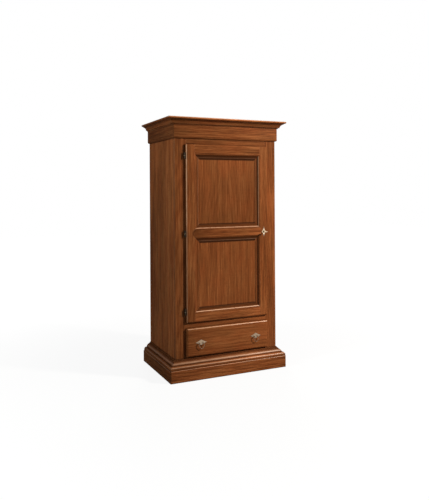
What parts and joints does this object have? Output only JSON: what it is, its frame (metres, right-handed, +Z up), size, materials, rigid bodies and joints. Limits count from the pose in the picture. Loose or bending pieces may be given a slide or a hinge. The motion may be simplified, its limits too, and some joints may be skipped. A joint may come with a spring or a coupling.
{
  "type": "bonnetiere cabinet",
  "caption": "Tall narrow wooden wardrobe with a hinged panelled door over a drawer, moulded crown and base, brass escutcheon, key and drop pulls.",
  "frame": {"origin": "on the floor, at the centre of the overall box, which the crown sets", "axes": "+Z up, front towards -Y, +X to the right seen from the front"},
  "size_m": [1.02, 0.665, 2],
  "materials": {
    "walnut_stain": "stained and waxed, low sheen",
    "plain_wood": "planed, unfinished",
    "thin_board": "plywood, unfinished",
    "pale_brass": "brushed, pale",
    "worn_brass": "aged, dull",
    "dark_bronze": "darkened",
    "steel": "plated"
  },
  "bodies": {
    "carcass": {"back_panel": "thin_board", "base_moulding_front": "walnut_stain", "base_moulding_left": "walnut_stain", "base_moulding_right": "walnut_stain", "carcass_bottom": "plain_wood", "carcass_screws": "steel", "carcass_top": "plain_wood", "compartment_floor": "plain_wood", "crown_back_rail": "plain_wood", "crown_front": "walnut_stain", "crown_left": "walnut_stain", "crown_right": "walnut_stain", "drawer_runner_left": "plain_wood", "drawer_runner_right": "plain_wood", "frame_bottom_rail": "walnut_stain", "frame_mid_rail": "walnut_stain", "frame_top_rail": "walnut_stain", "frieze_front": "walnut_stain", "frieze_left": "walnut_stain", "frieze_right": "walnut_stain", "hanging_rail": "steel", "hat_shelf": "plain_wood", "hinge_frame_leaves": "dark_bronze", "hinge_washers": "pale_brass", "plinth_back": "plain_wood", "plinth_corner_blocks": "plain_wood", "plinth_front": "walnut_stain", "plinth_left": "walnut_stain", "plinth_right": "walnut_stain", "post_left": "walnut_stain", "post_right": "walnut_stain", "rail_sockets": "steel", "side_left": "walnut_stain", "side_right": "walnut_stain", "strike_plate": "steel"},
    "door": {"door_stile_hinge": "walnut_stain", "door_stile_lock": "walnut_stain", "door_top_rail": "walnut_stain", "door_mid_rail": "walnut_stain", "door_bottom_rail": "walnut_stain", "door_panel_upper": "walnut_stain", "door_panel_lower": "walnut_stain", "panel_moulding_upper": "walnut_stain", "panel_moulding_lower": "walnut_stain", "hinge_door_leaves": "dark_bronze", "lock_case": "steel", "escutcheon": "pale_brass", "door_screws": "steel"},
    "key": {"key": "pale_brass"},
    "bolt": {"lock_bolt": "steel"},
    "drawer": {"drawer_front": "walnut_stain", "drawer_side_left": "plain_wood", "drawer_side_right": "plain_wood", "drawer_back": "plain_wood", "drawer_bottom": "thin_board", "pull_plates": "worn_brass", "pull_posts": "worn_brass", "pull_nuts": "steel"},
    "bail_left": {"pull_bail_left": "worn_brass"},
    "bail_right": {"pull_bail_right": "worn_brass"}
  },
  "joints": [
    {"name": "door_swing", "type": "hinge", "parent": "carcass", "child": "door", "pos_m": [-0.361, -0.27425, 1.112], "axis": [0, 0, -1], "range_deg": [0, 165]},
    {"name": "key_turn", "type": "hinge", "parent": "door", "child": "key", "pos_m": [0.32, -0.2855, 1.108], "axis": [0, 1, 0], "range_deg": [0, 90]},
    {"name": "bolt_slide", "type": "slide", "parent": "door", "child": "bolt", "axis": [1, 0, 0], "range_m": [0, 0.01]},
    {"name": "drawer_slide", "type": "slide", "parent": "carcass", "child": "drawer", "axis": [0, -1, 0], "range_m": [0, 0.36]},
    {"name": "bail_left_swing", "type": "hinge", "parent": "drawer", "child": "bail_left", "pos_m": [-0.238, -0.303, 0.27], "axis": [-1, 0, 0], "range_deg": [0, 90]},
    {"name": "bail_right_swing", "type": "hinge", "parent": "drawer", "child": "bail_right", "pos_m": [0.238, -0.303, 0.27], "axis": [-1, 0, 0], "range_deg": [0, 90]}
  ],
  "couplings": [
    {"joint": "bolt_slide", "follows": "key_turn", "m_per_rad": 0.00636}
  ]
}
